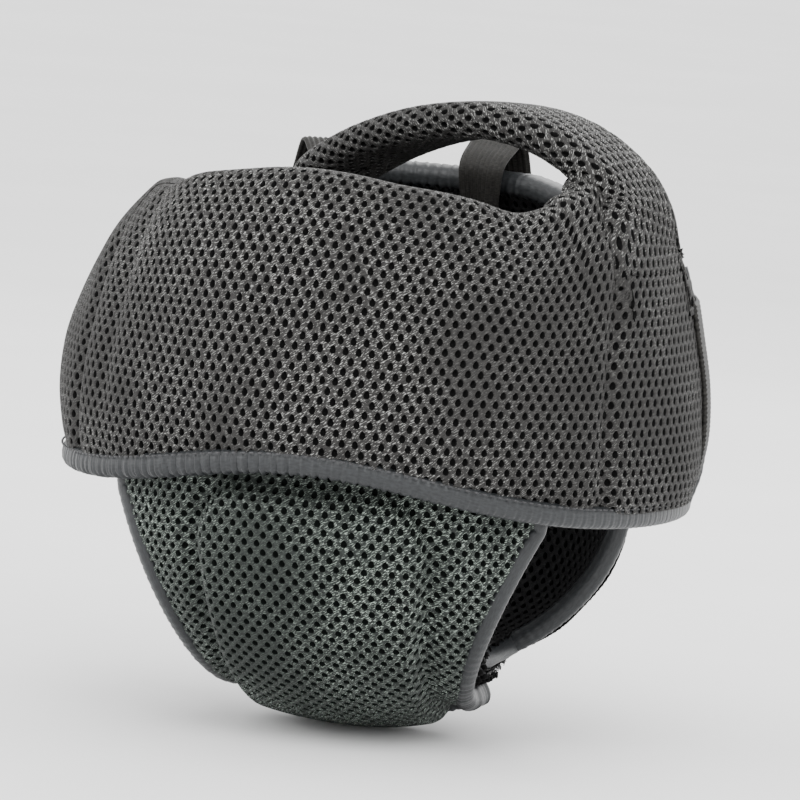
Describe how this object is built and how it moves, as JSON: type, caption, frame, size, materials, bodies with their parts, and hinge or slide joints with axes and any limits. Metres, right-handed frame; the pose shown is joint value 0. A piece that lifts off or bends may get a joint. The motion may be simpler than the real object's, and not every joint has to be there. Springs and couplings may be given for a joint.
{
  "type": "boxing headgear",
  "caption": "Soft open boxing headgear: padded mesh band, crown panel and rear flap joined by hook and loop, back pad on elastics, padded chin strap.",
  "frame": {"origin": "the point inside the crown that the top of the head rests on", "axes": "+Z from the crown towards the neck opening, the forehead faces -Y, +X is the wearer's right"},
  "size_m": [0.2152, 0.2318, 0.2085],
  "materials": {
    "air_mesh": "black and grey spacer mesh, matt with glints",
    "lining": "black fine mesh lining, matt",
    "foam": "closed-cell foam, matt",
    "binding": "dark grey coated binding tape, satin",
    "elastic": "ribbed woven elastic, matt",
    "hook": "hook tape, matt",
    "loop": "fuzzy loop tape, matt"
  },
  "bodies": {
    "back_pad": {"back_end_bindings": "binding", "back_loop_panel": "loop", "back_lower_binding": "binding", "back_pad_cover": "air_mesh", "back_pad_foam": "foam", "back_pad_lining": "lining", "back_rim_binding": "binding", "chin_elastic": "elastic", "flap_root_bindings": "binding", "flap_root_cover": "air_mesh", "flap_root_foam": "foam", "flap_root_lining": "lining", "nape_elastic": "elastic"},
    "chin_strap": {"chin_hook_patch": "hook", "chin_strap_cover": "air_mesh", "chin_strap_foam": "foam"},
    "crown_panel": {"crown_centre_pad": "foam", "crown_hook_patch": "hook", "crown_panel_cover": "air_mesh", "crown_panel_end_binding": "binding", "crown_panel_left_binding": "binding", "crown_panel_lining": "lining", "crown_panel_right_binding": "binding", "crown_side_pads": "foam"},
    "crown_flap": {"crown_loop_patch": "loop", "flap_tongue_bindings": "binding", "flap_tongue_cover": "air_mesh", "flap_tongue_foam": "foam", "flap_tongue_lining": "lining"},
    "front_shell": {"forehead_foam": "foam", "front_band_cover": "air_mesh", "front_lining": "lining", "front_lower_binding": "binding", "left_end_binding": "binding", "left_side_cover": "air_mesh", "left_side_elastic": "elastic", "left_side_foam": "foam", "right_end_binding": "binding", "right_side_cover": "air_mesh", "right_side_elastic": "elastic", "right_side_foam": "foam"},
    "left_tab": {"left_tab": "elastic", "left_tab_hook": "hook"},
    "right_tab": {"right_tab": "elastic", "right_tab_hook": "hook"}
  },
  "joints": [
    {"name": "back_pad_slide", "type": "slide", "parent": "front_shell", "child": "back_pad", "axis": [0, 1, 0], "range_m": [0, 0.02], "deforming": ["right_side_elastic", "left_side_elastic"]},
    {"name": "crown_panel_fold", "type": "hinge", "parent": "front_shell", "child": "crown_panel", "pos_m": [0, -0.1054, 0.063], "axis": [-1, 0, 0], "range_deg": [0, 30]},
    {"name": "crown_flap_fold", "type": "hinge", "parent": "back_pad", "child": "crown_flap", "pos_m": [0, 0.04416, 0.033], "axis": [-1, 0, 0], "range_deg": [0, 30]},
    {"name": "chin_strap_lift", "type": "hinge", "parent": "front_shell", "child": "chin_strap", "pos_m": [0.104, -0.02, 0.1415], "axis": [0, 1, 0], "range_deg": [0, 40]},
    {"name": "right_tab_peel", "type": "hinge", "parent": "back_pad", "child": "right_tab", "pos_m": [0.07535, 0.08465, 0.0985], "axis": [0, 0, -1], "range_deg": [0, 70]},
    {"name": "left_tab_peel", "type": "hinge", "parent": "back_pad", "child": "left_tab", "pos_m": [-0.07535, 0.08465, 0.0985], "axis": [0, 0, 1], "range_deg": [0, 70]}
  ]
}
